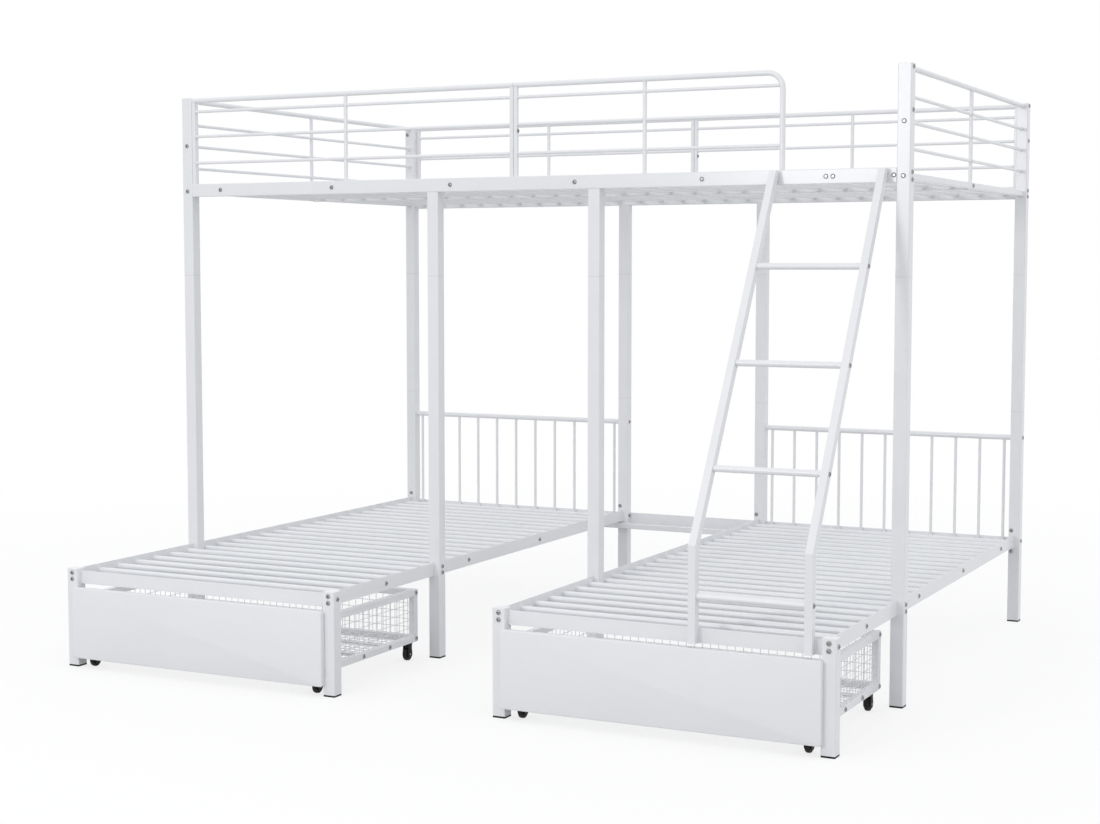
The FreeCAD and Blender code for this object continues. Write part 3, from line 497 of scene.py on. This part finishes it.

# Post joints: a thin dark-grey ring as painted shade in the fine line where two lengths of post meet

JOINT_HEIGHT = 0.8 * MM
JOINT_PROUD = 0.12 * MM
POST = 38 * MM
POST_CORNER = 3 * MM
outline = rounded_outline(POST + 2 * JOINT_PROUD, POST + 2 * JOINT_PROUD, POST_CORNER + JOINT_PROUD)
inner = rounded_outline(POST - 2 * JOINT_PROUD, POST - 2 * JOINT_PROUD, POST_CORNER - JOINT_PROUD)
loop = np.stack([np.insert(line, 2, height, axis=1) for line, height in
                 ((inner, -JOINT_HEIGHT / 2), (outline, -JOINT_HEIGHT / 2), (outline, JOINT_HEIGHT / 2),
                  (inner, JOINT_HEIGHT / 2))])
joint_faces = [grid_faces(4, loop.shape[1], wrap_rows=True)]
low, high = solids("splice_sleeves")
joints = (low + high) / 2
upright_axes = np.tile(np.eye(3), (len(joints), 1, 1))
piece("post_joint_painted_shade_rings", copies(loop.reshape(-1, 3), joint_faces, joints, upright_axes), "bed_frame",
      joint_shadow, sharp=80)

# Floor, light and camera

FLOOR_REACH = 30.0
floor_mesh = bpy.data.meshes.new("floor")
floor_corners = [(x * FLOOR_REACH, y * FLOOR_REACH, 0) for x, y in ((-1, -1), (1, -1), (1, 1), (-1, 1))]
floor_mesh.from_pydata(floor_corners, [], [(0, 1, 2, 3)])
floor = bpy.data.objects.new("floor", floor_mesh)
bpy.context.scene.collection.objects.link(floor)


def seen_white(tree):
    """One where a ray comes straight from the camera or by gloss or glass, nought for other rays."""
    path = tree.nodes.new("ShaderNodeLightPath")
    first = tree.nodes.new("ShaderNodeMath")
    first.operation = "MAXIMUM"
    second = tree.nodes.new("ShaderNodeMath")
    second.operation = "MAXIMUM"
    tree.links.new(path.outputs["Is Camera Ray"], first.inputs[0])
    tree.links.new(path.outputs["Is Glossy Ray"], first.inputs[1])
    tree.links.new(first.outputs["Value"], second.inputs[0])
    tree.links.new(path.outputs["Is Transmission Ray"], second.inputs[1])
    return second.outputs["Value"]


FLOOR_WHITE = 0.74
FADE_START, FADE_END = 1.5, 5.0
FLOOR_ROUGHNESS = 0.9
FLOOR_GLOSS = 0.1
FLOOR_BOUNCE = (0.53, 0.53, 0.535)
FLOOR_SEEN = (0.96, 0.96, 0.965)
floor_paint = bpy.data.materials.new("pale_floor")
floor_paint.use_nodes = True
tree = floor_paint.node_tree
matt = tree.nodes["Principled BSDF"]
seen = seen_white(tree)
tree.links.new(blend_colours(tree, seen, FLOOR_BOUNCE, FLOOR_SEEN), matt.inputs["Base Color"])
matt.inputs["Roughness"].default_value = FLOOR_ROUGHNESS
matt.inputs["Specular IOR Level"].default_value = FLOOR_GLOSS
glow = tree.nodes.new("ShaderNodeEmission")
away = tree.nodes.new("ShaderNodeVectorMath")
away.operation = "LENGTH"
tree.links.new(tree.nodes.new("ShaderNodeTexCoord").outputs["Object"], away.inputs[0])
share = tree.nodes.new("ShaderNodeMath")
share.operation = "MULTIPLY"
mixed = tree.nodes.new("ShaderNodeMixShader")
tree.links.new(seen, share.inputs[0])
tree.links.new(span(tree, away.outputs["Value"], FADE_START, FADE_END, FLOOR_WHITE, 1.0), share.inputs[1])
tree.links.new(share.outputs["Value"], mixed.inputs[0])
tree.links.new(matt.outputs["BSDF"], mixed.inputs[1])
tree.links.new(glow.outputs["Emission"], mixed.inputs[2])
tree.links.new(mixed.outputs["Shader"], tree.nodes["Material Output"].inputs["Surface"])
floor_mesh.materials.append(floor_paint)

SKY_LIGHT = 0.945
SKY_COLOUR = (0.97, 0.98, 1.0, 1)
world = bpy.data.worlds.new("studio")
bpy.context.scene.world = world
world.use_nodes = True
tree = world.node_tree
plain = tree.nodes["Background"]
plain.inputs["Color"].default_value = SKY_COLOUR
plain.inputs["Strength"].default_value = SKY_LIGHT
white = tree.nodes.new("ShaderNodeBackground")
white.inputs["Color"].default_value = (1, 1, 1, 1)
mixed = tree.nodes.new("ShaderNodeMixShader")
tree.links.new(seen_white(tree), mixed.inputs[0])
tree.links.new(plain.outputs["Background"], mixed.inputs[1])
tree.links.new(white.outputs["Background"], mixed.inputs[2])
tree.links.new(mixed.outputs["Shader"], tree.nodes["World Output"].inputs["Surface"])


def softbox(name, place, aim, width, height, watts):
    """Large area lamp turned so that it points from its place to an aim."""
    lamp = bpy.data.lights.new(name, "AREA")
    lamp.shape = "RECTANGLE"
    lamp.size, lamp.size_y, lamp.energy = width, height, watts
    thing = bpy.data.objects.new(name, lamp)
    bpy.context.scene.collection.objects.link(thing)
    away = np.asarray(place, float) - np.asarray(aim, float)
    pan = math.atan2(away[0], -away[1])
    tilt = math.atan2(math.hypot(away[0], away[1]), away[2])
    thing.location = place
    thing.rotation_euler = (tilt, 0, pan)


LAMPS = (  # name, place, aim, width and height in metres, watts
    ("upper_front_softbox", (-0.9, -4.3, 5.1), (0, -0.4, 0.8), 4.4, 2.8, 8),
    ("front_softbox", (-1.0, -6.5, 2.2), (0, 0, 1.2), 1.2, 1.2, 52),
    ("right_softbox", (8.5, -1.0, 2.8), (0, 0, 0.9), 4.5, 3.5, 22))
for lamp_values in LAMPS:
    softbox(*lamp_values)

VIEW_PLACE = (2.6117, -5.3604, 1.2090)
VIEW_DOWN = 4.456
VIEW_TURN = 26.668
SENSOR = 36.0
LENS = 61.19
FARTHEST = 100.0
camera = bpy.data.cameras.new("photo_view")
camera.sensor_fit = "HORIZONTAL"
camera.sensor_width = SENSOR
camera.lens = LENS
camera.clip_end = FARTHEST
viewer = bpy.data.objects.new("photo_view", camera)
bpy.context.scene.collection.objects.link(viewer)
viewer.location = VIEW_PLACE
viewer.rotation_euler = (math.radians(90 - VIEW_DOWN), 0, math.radians(VIEW_TURN))
bpy.context.scene.camera = viewer
bpy.context.scene.view_settings.view_transform = "Standard"

bpy.context.view_layer.update()
